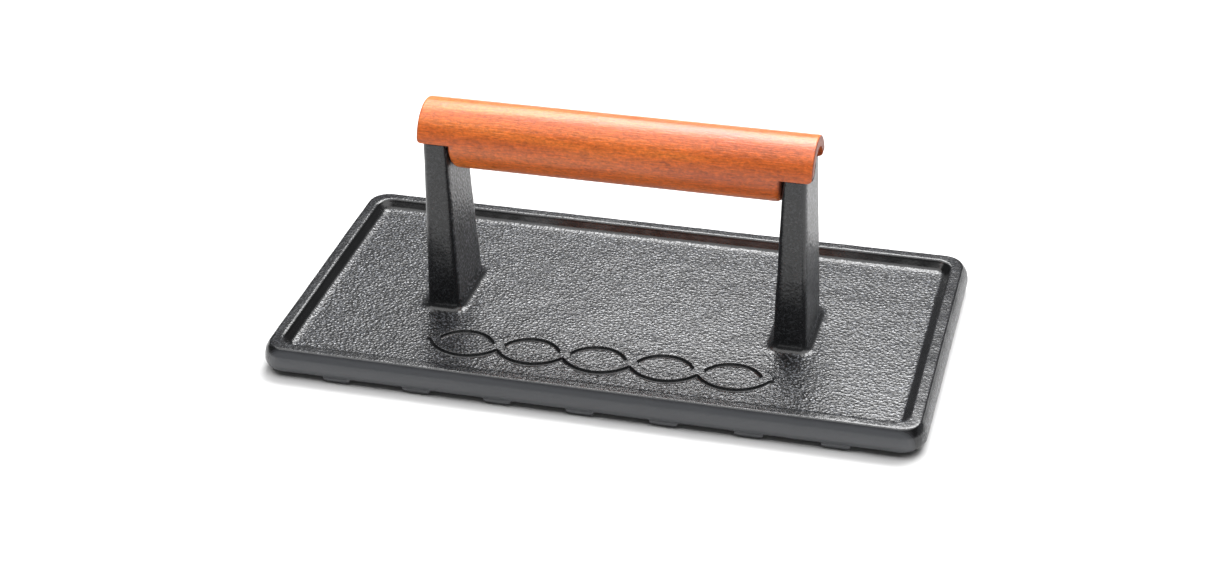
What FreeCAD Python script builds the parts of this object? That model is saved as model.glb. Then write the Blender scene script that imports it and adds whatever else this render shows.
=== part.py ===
import FreeCAD, Part

import math
import os

# A hand press for flat meats on a griddle: a rectangular iron casting with a
# shallow tray on top and shallow ridges below, and a round wooden grip that two
# screws hold between the casting's two posts.
# Millimetres. X runs along the grip, Z is up, and the origin is on the surface
# that the ridge crests rest on, in the middle of the plate.

# plate
PLATE_LENGTH = 231.0
PLATE_WIDTH = 117.0
RIM_TOP = 10.5
WALL_FLARE = 2.4
BELLY_Z = 4.3
PLATE_UNDERSIDE = 1.5
PLATE_CORNER = 9.0
RIM_LAND = 3.7
RIM_EDGE_RADIUS = 1.0

# tray on top of the plate
TRAY_DEPTH = 3.2
TRAY_WALL_RUN = 2.6
TRAY_CORNER = 5.6
TRAY_FLOOR_RADIUS = 1.0

# ridges under the plate, front to back
RIDGE_COUNT = 7
RIDGE_PITCH = 28.9
RIDGE_BASE_WIDTH = 9.6
RIDGE_CREST_WIDTH = 3.4
RIDGE_CREST_RADIUS = 2.6

# posts, cast in one with the plate
POST_FOOT_INNER = 56.2
POST_FOOT_OUTER = 68.4
POST_FOOT_DEPTH = 28.4
POST_TOP_INNER = 58.5
POST_TOP_OUTER = 66.8
POST_TOP_DEPTH = 23.4
POST_CORNER = 2.6
POST_FOOT_FILLET = 3.0
BOSS_RADIUS = 7.9
BOSS_SETBACK = 0.4

# wooden grip
GRIP_AXIS_Z = 71.1
GRIP_RADIUS = 11.85
GRIP_LENGTH = 137.4
GRIP_SHOULDER_X = 58.1
GRIP_LIP_Z = 71.9
GRIP_POCKET_RADIUS = 8.15
GRIP_END_RADIUS = 0.8
GRIP_LIP_RADIUS = 1.8
GRIP_SHOULDER_RADIUS = 2.6

# screws and washers
SCREW_Z = 72.6
SCREW_DIAMETER = 5.0
SCREW_IN_WOOD = 22.0
SCREW_POINT = 4.0
SCREW_HEAD_DIAMETER = 9.0
SCREW_HEAD_HEIGHT = 2.9
SCREW_HEAD_DOME = 1.3
DRIVE_WIDTH = 1.1
DRIVE_SPAN = 4.8
DRIVE_DEPTH = 1.6
WASHER_DIAMETER = 10.0
WASHER_THICKNESS = 1.0
CLEARANCE_HOLE = 5.5
COUNTERBORE_DIAMETER = 10.8
COUNTERBORE_DEPTH = 4.2

# raised ornament on the tray floor: two strands of arcs that cross
ORNAMENT_CENTRE_Y = -33.2
ORNAMENT_LINKS = 5
ORNAMENT_LINK_LENGTH = 23.6
ORNAMENT_HALF_HEIGHT = 9.2
ORNAMENT_STRAND = 3.2
ORNAMENT_RELIEF = 1.2

TRAY_FLOOR = RIM_TOP - TRAY_DEPTH
# how far one shape reaches into another that it joins or trims
EMBED = 0.8
# how far a cutting shape runs past the surface that it cuts
OVERRUN = 1.0
# two places closer than this are the same
SAME = 0.01
UP = FreeCAD.Vector(0, 0, 1)
ALONG_X = FreeCAD.Vector(1, 0, 0)
ALONG_Y = FreeCAD.Vector(0, 1, 0)
SIDES = {"left": -1, "right": 1}


def vec(x, y, z):
    return FreeCAD.Vector(x, y, z)


def line(a, b):
    return Part.LineSegment(a, b).toShape()


def arc(a, middle, b):
    return Part.Arc(a, middle, b).toShape()


def box(x0, x1, y0, y1, z0, z1):
    return Part.makeBox(x1 - x0, y1 - y0, z1 - z0, vec(x0, y0, z0))


def rod(radius, x0, x1, z):
    """A cylinder along X between two stations, at height z over the middle."""
    return Part.makeCylinder(radius, abs(x1 - x0), vec(min(x0, x1), 0, z), ALONG_X)


def mirrored(shape):
    """The same shape on the left-hand side."""
    return shape.mirror(vec(0, 0, 0), ALONG_X)


def rounded_rectangle(x0, x1, y0, y1, radius, z):
    """A closed wire at height z, with round corners."""
    bend = radius * (1 - math.sqrt(0.5))
    corners = [(x1, y1, 1, 1), (x0, y1, -1, 1), (x0, y0, -1, -1), (x1, y0, 1, -1)]
    arcs = []
    for n, (x, y, sx, sy) in enumerate(corners):
        on_end = vec(x, y - sy * radius, z)
        on_side = vec(x - sx * radius, y, z)
        middle = vec(x - sx * bend, y - sy * bend, z)
        ends = (on_end, on_side) if n % 2 == 0 else (on_side, on_end)
        arcs.append((ends[0], middle, ends[1]))
    edges = []
    for n, (start, middle, end) in enumerate(arcs):
        edges.append(arc(start, middle, end))
        edges.append(line(end, arcs[(n + 1) % len(arcs)][0]))
    return Part.Wire(edges)


def moulded_slab(half_x, half_y, corner, profile):
    """A slab with one edge profile all round.

    profile(origin, outward) gives the closed wire of the edge section, which starts
    at the vertical axis of a corner and reaches out by the corner's radius.
    """
    cx = half_x - corner
    cy = half_y - corner
    pieces = []
    for sx, sy, turn in ((1, 1, 0), (-1, 1, 90), (-1, -1, 180), (1, -1, 270)):
        centre = vec(sx * cx, sy * cy, 0)
        angle = math.radians(turn)
        outward = vec(math.cos(angle), math.sin(angle), 0)
        section = Part.Face(profile(centre, outward))
        pieces.append(section.revolve(centre, UP, 90))
        along = vec(math.sin(angle), -math.cos(angle), 0)
        run = 2 * (cy if turn % 180 == 0 else cx)
        pieces.append(section.extrude(along * run))
    low, high = pieces[0].BoundBox.ZMin, pieces[0].BoundBox.ZMax
    pieces.append(box(-cx, cx, -cy, cy, low, high))
    return pieces[0].fuse(pieces[1:]).removeSplitter()


def wall_profile(bottom):
    """The outer wall's section: a bowed wall down to the belly, then a round
    edge down to the given bottom."""
    reach = PLATE_CORNER
    rim = reach - WALL_FLARE
    drop = RIM_TOP - BELLY_Z
    bow = (WALL_FLARE ** 2 + drop ** 2) / (2 * WALL_FLARE)
    half_angle = 0.5 * math.asin(drop / bow)
    bow_middle = (reach - bow + bow * math.cos(half_angle), BELLY_Z + bow * math.sin(half_angle))
    under = BELLY_Z - PLATE_UNDERSIDE
    foot = bottom + under
    corner_middle = under * math.sqrt(0.5)

    def profile(centre, outward):
        def at(r, z):
            return centre + outward * r + UP * z

        edges = [
            line(at(0, RIM_TOP), at(rim, RIM_TOP)),
            arc(at(rim, RIM_TOP), at(*bow_middle), at(reach, BELLY_Z)),
        ]
        if foot < BELLY_Z:
            edges.append(line(at(reach, BELLY_Z), at(reach, foot)))
        edges += [
            arc(at(reach, foot), at(reach - under + corner_middle, foot - corner_middle),
                at(reach - under, bottom)),
            line(at(reach - under, bottom), at(0, bottom)),
            line(at(0, bottom), at(0, RIM_TOP)),
        ]
        return Part.Wire(edges)

    return profile


def tray_profile(centre, outward):
    """The tray's section: a flat floor, a small round and a sloping wall."""
    def at(r, z):
        return centre + outward * r + UP * z

    slope = math.atan2(TRAY_DEPTH, TRAY_WALL_RUN)
    tangent = TRAY_FLOOR_RADIUS * math.tan(slope / 2)
    foot = TRAY_CORNER - TRAY_WALL_RUN
    start = foot - tangent
    end = (foot + tangent * math.cos(slope), TRAY_FLOOR + tangent * math.sin(slope))
    middle = (start + TRAY_FLOOR_RADIUS * math.sin(slope / 2),
              TRAY_FLOOR + TRAY_FLOOR_RADIUS * (1 - math.cos(slope / 2)))
    beyond = 1 + EMBED / TRAY_DEPTH
    top_r = foot + TRAY_WALL_RUN * beyond
    top_z = TRAY_FLOOR + TRAY_DEPTH * beyond
    return Part.Wire([
        line(at(0, TRAY_FLOOR), at(start, TRAY_FLOOR)),
        arc(at(start, TRAY_FLOOR), at(*middle), at(*end)),
        line(at(*end), at(top_r, top_z)),
        line(at(top_r, top_z), at(0, top_z)),
        line(at(0, top_z), at(0, TRAY_FLOOR)),
    ])


def edges_at_height(shape, z):
    return [e for e in shape.Edges
            if abs(e.BoundBox.ZMin - z) < SAME and abs(e.BoundBox.ZMax - z) < SAME]


def ridge(x):
    """One ridge under the plate, as a bar that reaches up into the plate."""
    base = RIDGE_BASE_WIDTH / 2
    crest = RIDGE_CREST_WIDTH / 2
    inside = PLATE_UNDERSIDE + EMBED
    y = -PLATE_WIDTH / 2
    outline = [
        vec(x - base, y, inside), vec(x - base, y, PLATE_UNDERSIDE), vec(x - crest, y, 0),
        vec(x + crest, y, 0), vec(x + base, y, PLATE_UNDERSIDE), vec(x + base, y, inside),
    ]
    bar = Part.Face(Part.makePolygon(outline + outline[:1])).extrude(ALONG_Y * PLATE_WIDTH)
    crests = [e for e in edges_at_height(bar, 0) if e.BoundBox.YLength > PLATE_WIDTH / 2]
    return bar.makeFillet(RIDGE_CREST_RADIUS, crests)


def ridges():
    """All ridges, their ends trimmed to the plate's outer wall."""
    first = -(RIDGE_COUNT - 1) / 2
    bars = [ridge((first + n) * RIDGE_PITCH) for n in range(RIDGE_COUNT)]
    envelope = moulded_slab(PLATE_LENGTH / 2, PLATE_WIDTH / 2, PLATE_CORNER, wall_profile(0.0))
    return [bar.common(envelope) for bar in bars]


def plate():
    """The plate with its tray, round rim and ridges."""
    slab = moulded_slab(PLATE_LENGTH / 2, PLATE_WIDTH / 2, PLATE_CORNER,
                        wall_profile(PLATE_UNDERSIDE))
    rim_inset = WALL_FLARE + RIM_LAND
    tray = moulded_slab(PLATE_LENGTH / 2 - rim_inset, PLATE_WIDTH / 2 - rim_inset,
                        TRAY_CORNER, tray_profile)
    body = slab.cut(tray)
    body = body.makeFillet(RIM_EDGE_RADIUS, edges_at_height(body, RIM_TOP))
    return body.fuse(ridges()).removeSplitter()


def post_blade():
    """The right-hand post without its boss: a drafted blade with round corners."""
    foot = rounded_rectangle(POST_FOOT_INNER, POST_FOOT_OUTER, -POST_FOOT_DEPTH / 2,
                             POST_FOOT_DEPTH / 2, POST_CORNER, TRAY_FLOOR - EMBED)
    top = rounded_rectangle(POST_TOP_INNER, POST_TOP_OUTER, -POST_TOP_DEPTH / 2,
                            POST_TOP_DEPTH / 2, POST_CORNER, GRIP_LIP_Z)
    return Part.makeLoft([foot, top], True, True)


def post_boss():
    """The half-round boss on the post, which stands in the grip's pocket."""
    inner = POST_TOP_INNER + BOSS_SETBACK
    outer = POST_TOP_OUTER - BOSS_SETBACK
    disc = rod(BOSS_RADIUS, inner, outer, GRIP_AXIS_Z)
    above = box(inner, outer, -GRIP_RADIUS, GRIP_RADIUS,
                GRIP_LIP_Z - EMBED, GRIP_AXIS_Z + GRIP_RADIUS)
    return disc.common(above)


def post_hole():
    """The screw's clearance hole and counterbore, entered from the outer side."""
    hole = rod(CLEARANCE_HOLE / 2, GRIP_SHOULDER_X, POST_FOOT_OUTER, SCREW_Z)
    bore = rod(COUNTERBORE_DIAMETER / 2, counterbore_floor(), POST_FOOT_OUTER, SCREW_Z)
    return hole.fuse(bore)


def counterbore_floor():
    return POST_TOP_OUTER - COUNTERBORE_DEPTH


def arc_strip(start_x, side):
    """One raised arc of the ornament, bowed to one side over one link."""
    half = ORNAMENT_LINK_LENGTH / 2
    rise = ORNAMENT_HALF_HEIGHT - ORNAMENT_STRAND / 2
    radius = (half ** 2 + rise ** 2) / (2 * rise)
    centre = vec(start_x + half, ORNAMENT_CENTRE_Y + side * (rise - radius), TRAY_FLOOR - EMBED)
    height = ORNAMENT_RELIEF + EMBED
    ring = Part.makeCylinder(radius + ORNAMENT_STRAND / 2, height, centre)
    ring = ring.cut(Part.makeCylinder(radius - ORNAMENT_STRAND / 2, height, centre))
    near = ORNAMENT_CENTRE_Y - side * ORNAMENT_STRAND / 2
    far = ORNAMENT_CENTRE_Y + side * ORNAMENT_HALF_HEIGHT * 2
    window = box(start_x - ORNAMENT_STRAND, start_x + 2 * half + ORNAMENT_STRAND,
                 min(near, far), max(near, far), TRAY_FLOOR - EMBED, TRAY_FLOOR + ORNAMENT_RELIEF)
    return ring.common(window)


def ornament():
    """The raised band on the tray floor, as one shape."""
    first = -ORNAMENT_LINKS * ORNAMENT_LINK_LENGTH / 2
    pieces = []
    for n in range(ORNAMENT_LINKS):
        start = first + n * ORNAMENT_LINK_LENGTH
        pieces.append(arc_strip(start, 1))
        pieces.append(arc_strip(start, -1))
    return pieces[0].fuse(pieces[1:])


def foot_edges(shape):
    """The edges where the posts stand on the tray floor."""
    reach = POST_FOOT_DEPTH
    return [e for e in edges_at_height(shape, TRAY_FLOOR)
            if e.BoundBox.YMax < reach and e.BoundBox.YMin > -reach
            and POST_FOOT_INNER - SAME < abs(e.CenterOfMass.x) < POST_FOOT_OUTER + SAME]


def casting():
    """The plate and both posts, which are one iron casting."""
    blade = post_blade()
    body = plate().fuse([blade, mirrored(blade)])
    body = body.makeFillet(POST_FOOT_FILLET, foot_edges(body))
    boss = post_boss()
    hole = post_hole()
    body = body.fuse([boss, mirrored(boss)]).fuse(ornament())
    return body.cut([hole, mirrored(hole)]).removeSplitter()


def grip_pocket():
    """What is cut away at the right-hand end: the lower half beyond the shoulder,
    and the half-round pocket that takes the post's boss."""
    end = GRIP_LENGTH / 2 + OVERRUN
    below = box(GRIP_SHOULDER_X, end, -2 * GRIP_RADIUS, 2 * GRIP_RADIUS, 0, GRIP_LIP_Z)
    pocket = rod(GRIP_POCKET_RADIUS, GRIP_SHOULDER_X, end, GRIP_AXIS_Z)
    return below.fuse(pocket)


def shoulder_edges(shape):
    """The round edges where the grip steps down from its hoods to its full section."""
    deep = GRIP_AXIS_Z - GRIP_RADIUS / 2
    return [e for e in shape.Edges
            if e.BoundBox.XLength < SAME and e.BoundBox.ZMin < deep
            and abs(abs(e.CenterOfMass.x) - GRIP_SHOULDER_X) < SAME]


def lip_corner():
    """What is cut off the right-hand hood's two lips to round their end corners."""
    end = GRIP_LENGTH / 2
    x = end - GRIP_LIP_RADIUS
    z = GRIP_LIP_Z + GRIP_LIP_RADIUS
    reach = 2 * GRIP_RADIUS
    block = box(x, end + OVERRUN, -reach, reach, GRIP_LIP_Z - OVERRUN, z)
    return block.cut(Part.makeCylinder(GRIP_LIP_RADIUS, 2 * reach, vec(x, -reach, z), ALONG_Y))


def screw_hole():
    """The right-hand screw's hole in the grip, the shape of the screw's point."""
    point_start = GRIP_SHOULDER_X - SCREW_IN_WOOD + SCREW_POINT
    straight = rod(SCREW_DIAMETER / 2, point_start, GRIP_SHOULDER_X, SCREW_Z)
    return straight.fuse(screw_point())


def screw_point():
    base = vec(GRIP_SHOULDER_X - SCREW_IN_WOOD + SCREW_POINT, 0, SCREW_Z)
    return Part.makeCone(SCREW_DIAMETER / 2, 0, SCREW_POINT, base, -ALONG_X)


def grip():
    """The wooden grip: a turned bar with a hood over each post."""
    end = GRIP_LENGTH / 2
    bar = rod(GRIP_RADIUS, -end, end, GRIP_AXIS_Z)
    bar = bar.makeFillet(GRIP_END_RADIUS, [e for e in bar.Edges if e.BoundBox.XLength < SAME])
    pocket = grip_pocket()
    bar = bar.cut([pocket, mirrored(pocket)])
    bar = bar.makeFillet(GRIP_SHOULDER_RADIUS, shoulder_edges(bar))
    cuts = [screw_hole(), lip_corner()]
    return bar.cut(cuts + [mirrored(cut) for cut in cuts])


def drive_recess(head_end):
    """The cross recess in a screw head."""
    span = DRIVE_SPAN / 2
    width = DRIVE_WIDTH / 2
    x0 = head_end - DRIVE_DEPTH
    x1 = head_end + OVERRUN
    flat = box(x0, x1, -span, span, SCREW_Z - width, SCREW_Z + width)
    upright = box(x0, x1, -width, width, SCREW_Z - span, SCREW_Z + span)
    return flat.fuse(upright)


def screw():
    """The right-hand screw: a domed head with a cross recess, and a pointed shank."""
    seat = counterbore_floor() + WASHER_THICKNESS
    head_end = seat + SCREW_HEAD_HEIGHT
    head = rod(SCREW_HEAD_DIAMETER / 2, seat, head_end, SCREW_Z)
    rim = [e for e in head.Edges if e.BoundBox.XMin > head_end - SAME]
    head = head.makeFillet(SCREW_HEAD_DOME, rim)
    shank_start = GRIP_SHOULDER_X - SCREW_IN_WOOD + SCREW_POINT
    shank = rod(SCREW_DIAMETER / 2, shank_start, seat, SCREW_Z)
    return head.fuse([shank, screw_point()]).cut(drive_recess(head_end)).removeSplitter()


def washer():
    """The right-hand washer, under the screw's head."""
    floor = counterbore_floor()
    disc = rod(WASHER_DIAMETER / 2, floor, floor + WASHER_THICKNESS, SCREW_Z)
    return disc.cut(rod(CLEARANCE_HOLE / 2, floor, floor + WASHER_THICKNESS, SCREW_Z))


def placed(shape, side):
    return shape if side > 0 else mirrored(shape)


def nodes():
    made = {"plate_casting": casting(), "wooden_grip": grip()}
    for name, side in SIDES.items():
        made[name + "_screw"] = placed(screw(), side)
        made[name + "_washer"] = placed(washer(), side)
    return made


os.makedirs("parts", exist_ok=True)
for node, shape in nodes().items():
    print(node, "solids", len(shape.Solids), "valid", shape.isValid(), "mm3", round(shape.Volume))
    shape.exportStep("parts/" + node + ".step")
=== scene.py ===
import math

import bmesh
import bpy
import numpy as np
from mathutils import Euler, Matrix, Vector, noise


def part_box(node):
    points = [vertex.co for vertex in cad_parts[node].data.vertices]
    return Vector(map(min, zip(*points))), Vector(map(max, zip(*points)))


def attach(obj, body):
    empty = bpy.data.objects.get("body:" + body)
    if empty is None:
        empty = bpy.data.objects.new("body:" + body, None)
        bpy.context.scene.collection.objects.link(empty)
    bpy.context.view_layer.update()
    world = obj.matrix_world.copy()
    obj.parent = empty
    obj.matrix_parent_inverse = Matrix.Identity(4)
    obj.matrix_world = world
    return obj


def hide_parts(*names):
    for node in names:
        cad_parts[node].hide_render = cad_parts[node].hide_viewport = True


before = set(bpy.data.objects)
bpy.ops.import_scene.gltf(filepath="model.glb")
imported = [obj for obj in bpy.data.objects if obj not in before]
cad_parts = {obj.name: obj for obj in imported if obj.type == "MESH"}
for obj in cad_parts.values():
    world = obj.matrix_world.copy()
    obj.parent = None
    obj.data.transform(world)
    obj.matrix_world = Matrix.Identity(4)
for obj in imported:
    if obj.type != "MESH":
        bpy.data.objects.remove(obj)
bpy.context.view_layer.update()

# A cast iron bacon press with a wooden grip. Metres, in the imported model's frame:
# X along the grip, Y across the plate, Z up, origin under the middle of the plate.

MM = 0.001

PLATE_LOW, PLATE_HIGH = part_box("plate_casting")
GRIP_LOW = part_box("wooden_grip")[0]

# height of the tray's floor over the rest plane
TRAY_FLOOR_Z = 7.3 * MM
# from the plate's edge in to the flat of the tray floor, and to the start of its outer wall
TRAY_INSET = 8.7 * MM
WALL_INSET = 2.6 * MM
# the tray floor lifts this much over this width beside its walls
DISH_LIFT = 0.3 * MM
DISH_WIDTH = 2.6 * MM
# the lift fades out over this many times its own height
DISH_FADE = 8

# the posts and their feet lie between these distances from the middle plane, and this far front and back
POST_INNER, POST_OUTER = 50 * MM, 74 * MM
POST_REACH = 20 * MM
# the posts' free height ends this far above the grip's lower side
POST_OVERLAP = 2 * MM

# casting mesh
WELD_DISTANCE = 0.002 * MM
VOXEL = 0.34 * MM
SMOOTHING = 0.5
SMOOTHING_STEPS = 1
POST_SMOOTHING_STEPS = 12
KEPT_FACES = 0.45
# waves and small dents left by the sand: (feature size, height)
UNEVENNESS = [(11 * MM, 0.09 * MM), (4 * MM, 0.04 * MM)]

# iron: how much of the tray floor's coarse skin, with its painted glints, the other faces have
SIDE_COARSENESS = 1.0
FRONT_COARSENESS = 0.22
RIM_COARSENESS = 0.35
# the rim's share holds above the first of these heights over the tray floor, the floor's below the second
RIM_SKIN_ABOVE, FLOOR_SKIN_BELOW = 2.4 * MM, 1.4 * MM
# the part of the normal along Z, X or Y between which a face counts as facing that way: none, fully
UPWARD = (0.85, 0.97)
SIDEWAYS = (0.80, 0.95)
FRONTAL = (0.75, 0.95)
STEEP = (0.90, 0.65)
# the recess's wall counts in full from this height over the tray floor, and it starts between these
# distances inside the floor's edge: none, fully
RECESS_RISE = 0.5 * MM
RECESS_START, RECESS_FULL = 2 * MM, 1 * MM
# iron: patterns, in features a metre
PEBBLES = 860
GRAIN = 1200
CLOUD = 45
# the part of a pebble's width that is its dome
DOME_EDGE = 0.7
# the band of a noise pattern's values that holds most of it
SOFT_BAND = (0.3, 0.7)
GRAIN_BAND = (0.40, 0.60)
IRON_DARK, IRON_LIGHT = (0.0095, 0.0099, 0.0110), (0.0155, 0.0161, 0.0174)
# painted sheen: the long outer walls are coloured about five times lighter than the iron elsewhere,
# standing in for light they reflect
LONG_WALL_PAINTED_SHEEN = (0.070, 0.0730, 0.079)
# painted shade: the steep walls inside the rim are coloured near black
RECESS_PAINTED_SHADE = (0.004, 0.0041, 0.0044)
# the grain multiplies the iron's colour by this much, from hollows to bright facets; the bright end paints
# glints into the colour
GRAIN_AND_PAINTED_GLINTS = [(0.45, 0.35), (0.53, 1.5), (0.63, 9.5)]
IRON_IOR = 1.52
# roughness: fine skin by cloud, coarse skin by grain, and single values
FINE_ROUGHNESS = (0.20, 0.27)
COARSE_ROUGHNESS = (0.34, 0.17)
SIDE_ROUGHNESS, LONG_WALL_ROUGHNESS, RECESS_ROUGHNESS = 0.36, 0.33, 0.20
# bumps: their height, and their strength on fine and on coarse skin
DOME_HEIGHT, DOME_STRENGTH = 0.115 * MM, (0.06, 1.0)
PIT_HEIGHT, PIT_STRENGTH = 0.055 * MM, (0.15, 1.0)

# wood: how many times finer across the grain than along it, then features a metre along it
BAND_STRETCH, BANDS = 11, 8
STREAK_STRETCH, STREAKS = 9, 230
FLECK_STRETCH, FLECKS = 2.6, 250
MOTTLE_STRETCH, MOTTLE = 1.7, 640
WOOD_COLOURS = [(0.30, (0.48, 0.080, 0.011)), (0.5, (0.68, 0.137, 0.019)), (0.72, (0.84, 0.215, 0.033))]
FLECK_COLOUR = (0.15, 0.026, 0.007)
FLECK_DARKNESS = 0.48
# streaks and mottle multiply the colour: (position, factor), and how much of that shows
STREAK_FACTORS, STREAK_SHARE = [(0.3, 0.66), (0.7, 1.17)], 0.8
MOTTLE_FACTORS, MOTTLE_SHARE = [(0.32, 0.70), (0.68, 1.25)], 0.9
FLECK_EDGE = [(0.62, 0.0), (0.72, 1.0)]
# the end grain's colour over the side grain's, where it starts along the normal's X part, and its roughness
END_GRAIN_TINT = (0.36, 0.42, 1.1)
END_GRAIN_FACING = (0.55, 0.85)
END_GRAIN_ROUGHNESS = 0.7
LACQUER_ROUGHNESS = (0.27, 0.38)
LACQUER_COAT, LACQUER_COAT_ROUGHNESS = 0.25, 0.38
# bumps: height and strength
PORE_BUMP = (0.16 * MM, 0.8)
LEATHER_BUMP = (0.10 * MM, 0.7)
FLECK_BUMP = (0.10 * MM, 0.5)

# steel: turning rings a metre, mottle features a metre
SCREW_RINGS, WASHER_RINGS = 300, 180
RING_DISTORTION = 1.2
STEEL_MOTTLE = 700
STEEL_DARK, STEEL_LIGHT = (0.50, 0.50, 0.48), (0.70, 0.70, 0.68)
STEEL_ROUGHNESS = (0.22, 0.38)
RING_BUMP = (0.02 * MM, 0.5)

# camera
CAMERA_TARGET = Vector((-0.0111, 0.0290, 0.0))
CAMERA_DISTANCE = 0.8365
CAMERA_AZIMUTH = math.radians(15.82)
CAMERA_ELEVATION = math.radians(31.32)
CAMERA_ROLL = math.radians(-1.64)
CAMERA_LENS = 66.7
SENSOR_WIDTH = 36.0
CLIP_START, CLIP_END = 0.01, 20

# surroundings
FLOOR_HALF = 3.0
FLOOR_COLOUR = (0.68, 0.68, 0.68, 1)
FLOOR_ROUGHNESS = 0.9
FLOOR_SPECULAR = 0.1
WORLD_STRENGTH = 0.10
# lights: name, place, aimed at, size, power in watts
LIGHTS = [
    ("overhead_panel", (0.05, 0.06, 1.1), (0.05, 0.06, 0), (2.2, 1.42), 24),
    ("back_softbox", (0.12, 0.75, 1.05), (0, 0, 0.03), (1.2, 0.6), 30.5),
    ("front_low_panel", (0.3, -1.4, 0.25), (0, 0, 0.02), (1.8, 0.4), 1.8),
]


def principled(name):
    """A new material, its node tree and its Principled shader."""
    material = bpy.data.materials.new(name)
    material.use_nodes = True
    tree = material.node_tree
    return material, tree, tree.nodes["Principled BSDF"]


def fed(tree, sockets, values):
    """Joins each socket to its value, or sets it when the value is a number or a colour."""
    for socket, value in zip(sockets, values):
        if isinstance(value, bpy.types.NodeSocket):
            tree.links.new(value, socket)
        elif isinstance(value, tuple) and len(value) < len(socket.default_value):
            socket.default_value = (*value, 1)
        else:
            socket.default_value = value


def node(tree, kind, **inputs):
    """A new node, with its inputs fed by name; a double underscore stands for a space."""
    made = tree.nodes.new(kind)
    for name, value in inputs.items():
        fed(tree, [made.inputs[name.replace("__", " ")]], [value])
    return made


def grey(value):
    """A colour socket's value for a plain number."""
    return (value, value, value)


def object_coordinates(tree, stretch=1):
    """The piece's own coordinates, made this many times finer across X."""
    place = tree.nodes.new("ShaderNodeTexCoord")
    mapping = node(tree, "ShaderNodeMapping", Vector=place.outputs["Object"], Scale=(1, stretch, stretch))
    return mapping.outputs["Vector"]


def noise_at(tree, vector, scale, detail=3.0, roughness=0.5, distortion=0.0):
    """A noise pattern with so many features a metre."""
    return node(tree, "ShaderNodeTexNoise", Vector=vector, Scale=scale, Detail=detail,
                Roughness=roughness, Distortion=distortion).outputs["Fac"]


def ramp(tree, value, stops):
    """A colour ramp with (position, grey or colour) stops."""
    made = node(tree, "ShaderNodeValToRGB", Fac=value)
    elements = made.color_ramp.elements
    while len(elements) < len(stops):
        elements.new(0.5)
    for element, (position, colour) in zip(elements, stops):
        element.position = position
        element.color = (*(colour if isinstance(colour, tuple) else grey(colour)), 1)
    return made.outputs["Color"]


def blended(tree, factor, first, second, mode="MIX"):
    """Two colours mixed."""
    made = tree.nodes.new("ShaderNodeMix")
    made.data_type = "RGBA"
    made.blend_type = mode
    fed(tree, (made.inputs[0], made.inputs[6], made.inputs[7]), (factor, first, second))
    return made.outputs[2]


def remapped(tree, value, source, target=(0.0, 1.0)):
    """A value moved from one range to another, and kept within it."""
    return node(tree, "ShaderNodeMapRange", Value=value, From__Min=source[0], From__Max=source[1],
                To__Min=target[0], To__Max=target[1]).outputs["Result"]


def maths(tree, operation, first, second=0.0):
    made = tree.nodes.new("ShaderNodeMath")
    made.operation = operation
    fed(tree, made.inputs, (first, second))
    return made.outputs[0]


def bumped(tree, height, distance, strength, under=None):
    """A bump from a height pattern, on top of another bump."""
    inputs = {"Height": height, "Distance": distance, "Strength": strength}
    if under is not None:
        inputs["Normal"] = under
    return node(tree, "ShaderNodeBump", **inputs).outputs["Normal"]


def parts_of(tree, what):
    """The X, Y and Z parts of the surface's Normal or Position."""
    here = tree.nodes.new("ShaderNodeNewGeometry")
    return node(tree, "ShaderNodeSeparateXYZ", Vector=here.outputs[what]).outputs


def size_of(tree, value):
    return maths(tree, "ABSOLUTE", value)


def facing_mask(tree, axis, limits, full=1.0):
    """full on the faces that look along the axis, either way, and 0 elsewhere."""
    return remapped(tree, size_of(tree, parts_of(tree, "Normal")[axis]), limits, (0.0, full))


def long_wall_mask(tree):
    """1 on the plate's two long outer walls and 0 inside them; it lays the walls' painted sheen and their
    roughness.
    """
    reach = size_of(tree, parts_of(tree, "Position")["Y"])
    return remapped(tree, reach, (PLATE_HIGH.y - WALL_INSET, PLATE_HIGH.y - 0.5 * WALL_INSET))


def coarse_skin_and_glint_mask(tree):
    """Where the coarse skin and its painted glints go: 1 on the tray's floor, less on the rim and the
    upright faces, 0 elsewhere.
    """
    upward = remapped(tree, parts_of(tree, "Normal")["Z"], UPWARD)
    low = remapped(tree, parts_of(tree, "Position")["Z"],
                   (TRAY_FLOOR_Z + RIM_SKIN_ABOVE, TRAY_FLOOR_Z + FLOOR_SKIN_BELOW), (RIM_COARSENESS, 1.0))
    upright = maths(tree, "MAXIMUM", facing_mask(tree, "X", SIDEWAYS, SIDE_COARSENESS),
                    facing_mask(tree, "Y", FRONTAL, FRONT_COARSENESS))
    return maths(tree, "MAXIMUM", maths(tree, "MULTIPLY", upward, low), upright)


def tray_wall_mask(tree):
    """1 on the steep walls inside the rim, and 0 elsewhere; it lays painted shade and a smoother finish
    there.
    """
    place = parts_of(tree, "Position")
    steep = remapped(tree, parts_of(tree, "Normal")["Z"], STEEP)
    above = remapped(tree, place["Z"], (TRAY_FLOOR_Z, TRAY_FLOOR_Z + RECESS_RISE))
    near, within = [], []
    for axis, edge in (("X", PLATE_HIGH.x), ("Y", PLATE_HIGH.y)):
        reach = size_of(tree, place[axis])
        floor_edge = edge - TRAY_INSET
        near.append(remapped(tree, reach, (floor_edge - RECESS_START, floor_edge - RECESS_FULL)))
        within.append(remapped(tree, reach, (edge - WALL_INSET, edge - 1.3 * WALL_INSET)))
    ring = maths(tree, "MULTIPLY", maths(tree, "MAXIMUM", *near), maths(tree, "MULTIPLY", *within))
    return maths(tree, "MULTIPLY", maths(tree, "MULTIPLY", steep, above), ring)


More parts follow.
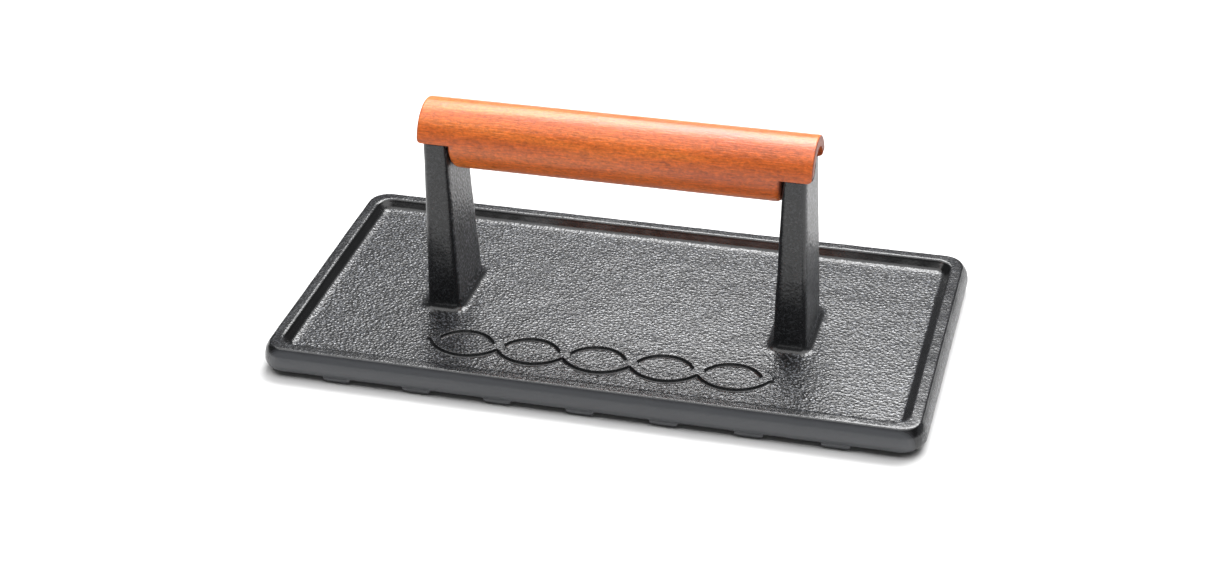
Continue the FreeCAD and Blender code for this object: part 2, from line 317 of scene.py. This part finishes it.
def iron_material():
    """Sand-cast iron under a dark baked oil coat. The sand left a coarse skin with small bright facets on
    the tray's floor, bright from bumps and from glints painted into the colour, and the rims and walls came
    out smoother.
    The long outer walls carry a painted sheen, and the walls inside the rim carry painted shade."""
    material, tree, shader = principled("cast_iron")
    place = object_coordinates(tree)
    coarse, wall, recess = coarse_skin_and_glint_mask(tree), long_wall_mask(tree), tray_wall_mask(tree)
    pebbles = node(tree, "ShaderNodeTexVoronoi", Vector=place, Scale=PEBBLES)
    domes = maths(tree, "SUBTRACT", 1.0, remapped(tree, pebbles.outputs["Distance"], (0.0, DOME_EDGE)))
    grain = noise_at(tree, place, GRAIN, detail=2, roughness=0.6)
    cloud = noise_at(tree, place, CLOUD, detail=4, roughness=0.6)

    base = ramp(tree, cloud, list(zip(SOFT_BAND, (IRON_DARK, IRON_LIGHT))))
    # painted glints: on the coarse skin the grain multiplies the colour up to 9.5 times at its bright end
    grain_and_glints = blended(tree, coarse, grey(1.0), ramp(tree, grain, GRAIN_AND_PAINTED_GLINTS))
    colour = blended(tree, 1.0, base, grain_and_glints, "MULTIPLY")
    # painted sheen: the long outer walls take their lighter colour
    colour = blended(tree, wall, colour, LONG_WALL_PAINTED_SHEEN)

    finish = blended(tree, coarse, remapped(tree, cloud, SOFT_BAND, FINE_ROUGHNESS),
                     remapped(tree, grain, GRAIN_BAND, COARSE_ROUGHNESS))
    finish = blended(tree, facing_mask(tree, "X", SIDEWAYS), finish, grey(SIDE_ROUGHNESS))
    finish = blended(tree, wall, finish, grey(LONG_WALL_ROUGHNESS))

    skin = bumped(tree, domes, DOME_HEIGHT, remapped(tree, coarse, (0.0, 1.0), DOME_STRENGTH))
    pits = bumped(tree, grain, PIT_HEIGHT, remapped(tree, coarse, (0.0, 1.0), PIT_STRENGTH), skin)
    # painted shade: the walls inside the rim take a near-black colour
    fed(tree, [shader.inputs[name] for name in ("Base Color", "Roughness", "Normal", "Metallic", "IOR")],
        [blended(tree, recess, colour, RECESS_PAINTED_SHADE),
         blended(tree, recess, finish, grey(RECESS_ROUGHNESS)), pits, 0.0, IRON_IOR])
    return material


def wood_material():
    """Close-grained hardwood along X, stained orange-brown under satin lacquer.
    The end grain drinks more stain, so it is darker and duller."""
    material, tree, shader = principled("stained_wood")
    bands = noise_at(tree, object_coordinates(tree, BAND_STRETCH), BANDS,
                     detail=4, roughness=0.55, distortion=0.5)
    streaks = noise_at(tree, object_coordinates(tree, STREAK_STRETCH), STREAKS, detail=3, roughness=0.6)
    flecks = noise_at(tree, object_coordinates(tree, FLECK_STRETCH), FLECKS,
                      detail=3, roughness=0.6, distortion=0.8)
    mottle = noise_at(tree, object_coordinates(tree, MOTTLE_STRETCH), MOTTLE, detail=3, roughness=0.65)

    colour = ramp(tree, bands, WOOD_COLOURS)
    colour = blended(tree, STREAK_SHARE, colour, ramp(tree, streaks, STREAK_FACTORS), "MULTIPLY")
    colour = blended(tree, MOTTLE_SHARE, colour, ramp(tree, mottle, MOTTLE_FACTORS), "MULTIPLY")
    dark = maths(tree, "MULTIPLY", ramp(tree, flecks, FLECK_EDGE), FLECK_DARKNESS)
    colour = blended(tree, dark, colour, FLECK_COLOUR)
    across = facing_mask(tree, "X", END_GRAIN_FACING)
    end_colour = blended(tree, 1.0, colour, END_GRAIN_TINT, "MULTIPLY")
    sheen = remapped(tree, streaks, SOFT_BAND, LACQUER_ROUGHNESS)

    pores = bumped(tree, streaks, *PORE_BUMP)
    leather = bumped(tree, mottle, *LEATHER_BUMP, pores)
    fed(tree, [shader.inputs[name] for name in ("Base Color", "Roughness", "Normal", "Coat Weight",
                                               "Coat Roughness")],
        [blended(tree, across, colour, end_colour),
         blended(tree, across, sheen, grey(END_GRAIN_ROUGHNESS)),
         bumped(tree, flecks, *FLECK_BUMP, leather), LACQUER_COAT, LACQUER_COAT_ROUGHNESS])
    return material


def steel_material(name, ring_scale):
    """Bright zinc-plated steel with turning marks about X."""
    material, tree, shader = principled(name)
    place = object_coordinates(tree)
    rings = node(tree, "ShaderNodeTexWave", Vector=place, Scale=ring_scale, Distortion=RING_DISTORTION)
    rings.wave_type = "RINGS"
    rings.rings_direction = "X"
    mottle = noise_at(tree, place, STEEL_MOTTLE)
    fed(tree, [shader.inputs[name] for name in ("Base Color", "Roughness", "Normal", "Metallic")],
        [ramp(tree, mottle, list(zip(SOFT_BAND, (STEEL_DARK, STEEL_LIGHT)))),
         remapped(tree, mottle, SOFT_BAND, STEEL_ROUGHNESS),
         bumped(tree, rings.outputs["Fac"], *RING_BUMP), 1.0])
    return material


def coat(piece, material):
    piece.data.materials.clear()
    piece.data.materials.append(material)


def copied(node, name):
    """A free copy of a CAD node's mesh, as a new object."""
    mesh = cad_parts[node].data.copy()
    mesh.name = name
    piece = bpy.data.objects.new(name, mesh)
    bpy.context.scene.collection.objects.link(piece)
    return piece


def applied(piece):
    """Replaces the piece's mesh with what its modifiers make, and removes them."""
    graph = bpy.context.evaluated_depsgraph_get()
    graph.update()
    mesh = bpy.data.meshes.new_from_object(piece.evaluated_get(graph))
    piece.modifiers.clear()
    piece.data = mesh
    return piece


def welded(piece):
    """Joins the mesh's split vertices so that it is closed."""
    work = bmesh.new()
    work.from_mesh(piece.data)
    bmesh.ops.remove_doubles(work, verts=work.verts, dist=WELD_DISTANCE)
    work.to_mesh(piece.data)
    work.free()
    return piece


def points(mesh):
    found = np.empty(len(mesh.vertices) * 3)
    mesh.vertices.foreach_get("co", found)
    return found.reshape(-1, 3)


def roughened(piece, layers):
    """Moves each point along its normal by noise, but not below the plane the press rests on.
    Layers are (feature size, height)."""
    mesh = piece.data
    places = points(mesh)
    normals = np.empty(len(mesh.vertices) * 3)
    mesh.vertices.foreach_get("normal", normals)
    lift = np.zeros(len(places))
    for size, height in layers:
        seeds = places / size
        lift += height * np.array([noise.noise(Vector(p)) for p in seeds])
    places += normals.reshape(-1, 3) * lift[:, None]
    places[:, 2] = np.maximum(places[:, 2], PLATE_LOW.z)
    mesh.vertices.foreach_set("co", places.ravel())
    mesh.update()
    return piece


def dished(piece):
    """Lifts the tray floor's border towards its walls, as the pattern's draft leaves it."""
    places = points(piece.data)
    beside = np.minimum(PLATE_HIGH.x - TRAY_INSET - np.abs(places[:, 0]),
                        PLATE_HIGH.y - TRAY_INSET - np.abs(places[:, 1]))
    rise = places[:, 2] - TRAY_FLOOR_Z
    border = 1 - np.clip(beside / DISH_WIDTH, 0, 1)
    fade = 1 - np.clip(rise / (DISH_FADE * DISH_LIFT), 0, 1)
    places[:, 2] += np.where(rise > -DISH_LIFT, DISH_LIFT * border ** 2 * fade, 0)
    piece.data.vertices.foreach_set("co", places.ravel())
    piece.data.update()
    return piece


def smooth_shaded(piece):
    piece.data.polygons.foreach_set("use_smooth", [True] * len(piece.data.polygons))
    return piece


def softened_posts(piece):
    """Rounds the posts' edges and feet, which the sand left softer than the plate's."""
    places = points(piece.data)
    across = np.abs(places[:, 0])
    chosen = ((across > POST_INNER) & (across < POST_OUTER) & (np.abs(places[:, 1]) < POST_REACH)
              & (places[:, 2] > TRAY_FLOOR_Z - DISH_LIFT) & (places[:, 2] < GRIP_LOW.z + POST_OVERLAP))
    group = piece.vertex_groups.new(name="posts")
    group.add(np.flatnonzero(chosen).tolist(), 1.0, "REPLACE")
    smooth = piece.modifiers.new("post_smooth", "SMOOTH")
    smooth.factor = SMOOTHING
    smooth.iterations = POST_SMOOTHING_STEPS
    smooth.vertex_group = group.name
    return applied(piece)


def casting():
    """The iron casting with the soft edges and uneven skin that sand leaves."""
    piece = welded(copied("plate_casting", "cast_plate"))
    remesh = piece.modifiers.new("remesh", "REMESH")
    remesh.mode = "VOXEL"
    remesh.voxel_size = VOXEL
    remesh.use_smooth_shade = True
    smooth = piece.modifiers.new("smooth", "SMOOTH")
    smooth.factor = SMOOTHING
    smooth.iterations = SMOOTHING_STEPS
    applied(piece)
    dished(piece)
    softened_posts(piece)
    roughened(piece, UNEVENNESS)
    thinner = piece.modifiers.new("thinner", "DECIMATE")
    thinner.ratio = KEPT_FACES
    applied(piece)
    smooth_shaded(piece)
    coat(piece, iron_material())
    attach(piece, "root")
    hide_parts("plate_casting")


def camera():
    """The camera, turned about its target."""
    data = bpy.data.cameras.new("camera")
    data.lens = CAMERA_LENS
    data.sensor_width = SENSOR_WIDTH
    data.clip_start = CLIP_START
    data.clip_end = CLIP_END
    looking = Vector((-math.sin(CAMERA_AZIMUTH) * math.cos(CAMERA_ELEVATION),
                      math.cos(CAMERA_AZIMUTH) * math.cos(CAMERA_ELEVATION),
                      -math.sin(CAMERA_ELEVATION)))
    turn = Euler((math.pi / 2 - CAMERA_ELEVATION, 0, CAMERA_AZIMUTH)).to_matrix()
    roll = Matrix.Rotation(CAMERA_ROLL, 3, "Z")
    made = bpy.data.objects.new("camera", data)
    place = Matrix.Translation(CAMERA_TARGET - looking * CAMERA_DISTANCE)
    made.matrix_world = place @ (turn @ roll).to_4x4()
    bpy.context.scene.collection.objects.link(made)
    bpy.context.scene.camera = made


def floor():
    """A plain pale floor."""
    half = FLOOR_HALF
    mesh = bpy.data.meshes.new("floor")
    corners = [(-half, -half, 0), (half, -half, 0), (half, half, 0), (-half, half, 0)]
    mesh.from_pydata(corners, [], [(0, 1, 2, 3)])
    piece = bpy.data.objects.new("floor", mesh)
    bpy.context.scene.collection.objects.link(piece)
    material, tree, shader = principled("floor_paper")
    fed(tree, [shader.inputs[name] for name in ("Base Color", "Roughness", "Specular IOR Level")],
        [FLOOR_COLOUR, FLOOR_ROUGHNESS, FLOOR_SPECULAR])
    coat(piece, material)


def area_light(name, place, target, size, power):
    """A rectangular light that the camera does not see."""
    data = bpy.data.lights.new(name, "AREA")
    data.shape = "RECTANGLE"
    data.size, data.size_y = size
    data.energy = power
    made = bpy.data.objects.new(name, data)
    aim = (Vector(target) - Vector(place)).to_track_quat("-Z", "Y")
    made.matrix_world = Matrix.Translation(place) @ aim.to_matrix().to_4x4()
    made.visible_camera = False
    bpy.context.scene.collection.objects.link(made)


def studio():
    """Soft light: a dim white surround and large panels."""
    world = bpy.data.worlds.new("surround")
    world.use_nodes = True
    background = world.node_tree.nodes["Background"]
    background.inputs["Color"].default_value = (1, 1, 1, 1)
    background.inputs["Strength"].default_value = WORLD_STRENGTH
    bpy.context.scene.world = world
    for light in LIGHTS:
        area_light(*light)
    bpy.context.scene.view_settings.view_transform = "Standard"


camera()
floor()
studio()
casting()
coat(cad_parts["wooden_grip"], wood_material())
steel = steel_material("zinc_plate", SCREW_RINGS)
washer_steel = steel_material("washer_plate", WASHER_RINGS)
for side in ("left", "right"):
    coat(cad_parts[side + "_screw"], steel)
    coat(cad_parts[side + "_washer"], washer_steel)
